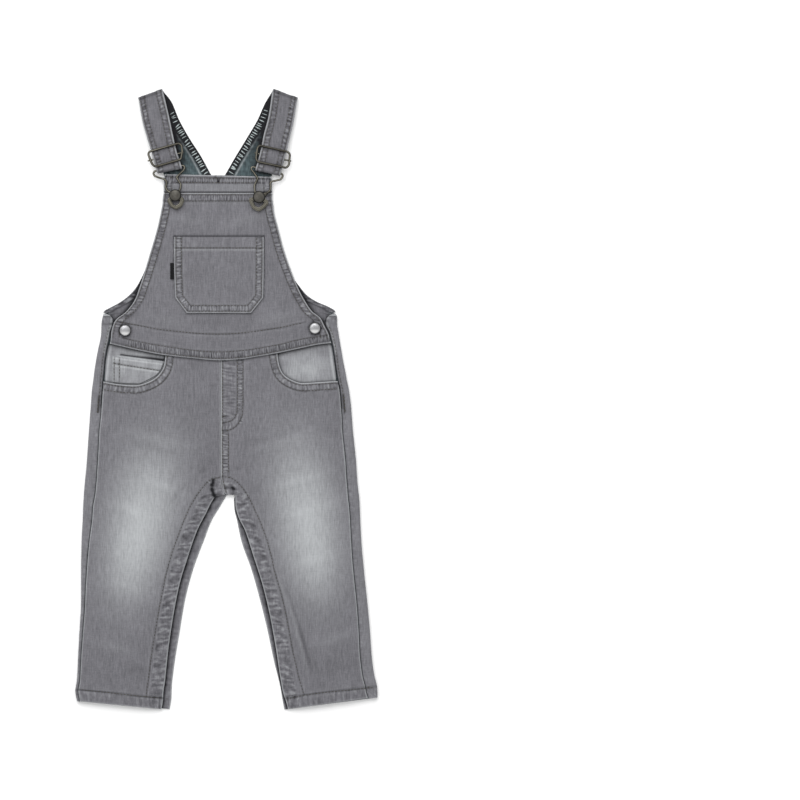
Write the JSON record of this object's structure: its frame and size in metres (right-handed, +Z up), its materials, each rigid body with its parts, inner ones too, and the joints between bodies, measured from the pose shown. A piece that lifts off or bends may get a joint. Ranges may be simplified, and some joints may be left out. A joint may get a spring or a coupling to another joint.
{
  "type": "dungarees",
  "caption": "Toddler's grey washed denim dungarees laid flat with the front up, with buckled straps, bib pocket, scooped side pockets and back patch pockets.",
  "frame": {"origin": "on the surface it lies on, under the middle of the garment's bounding box", "axes": "+X towards the wearer's left, +Y from the hems towards the straps, +Z up out of the cloth, away from the surface"},
  "size_m": [0.287, 0.5895, 0.0081],
  "materials": {
    "denim": "grey stonewashed stretch denim twill, matt",
    "washed_denim": "the same denim washed pale, matt",
    "label_cloth": "plain black woven tape, matt",
    "old_nickel": "darkened antique nickel wire, satin",
    "bright_nickel": "bright nickel, domed and polished"
  },
  "bodies": {
    "root": {"back_right": "denim", "back_left": "denim", "back_pocket_right": "denim", "back_pocket_left": "denim", "pocket_patch": "label_cloth", "front_right": "denim", "front_left": "denim", "facing_right": "washed_denim", "facing_left": "washed_denim", "coin_pocket": "washed_denim", "bib": "denim", "bib_yoke": "denim", "bib_pocket": "denim", "loop_tab": "label_cloth", "strap_right": "denim", "strap_left": "denim", "slider_right": "old_nickel", "slider_left": "old_nickel", "slide_bar_right": "old_nickel", "slide_bar_left": "old_nickel", "hook_right": "old_nickel", "hook_left": "old_nickel", "bib_button_right": "old_nickel", "bib_button_left": "old_nickel", "side_button_right": "bright_nickel", "side_button_left": "bright_nickel"}
  },
  "joints": []
}
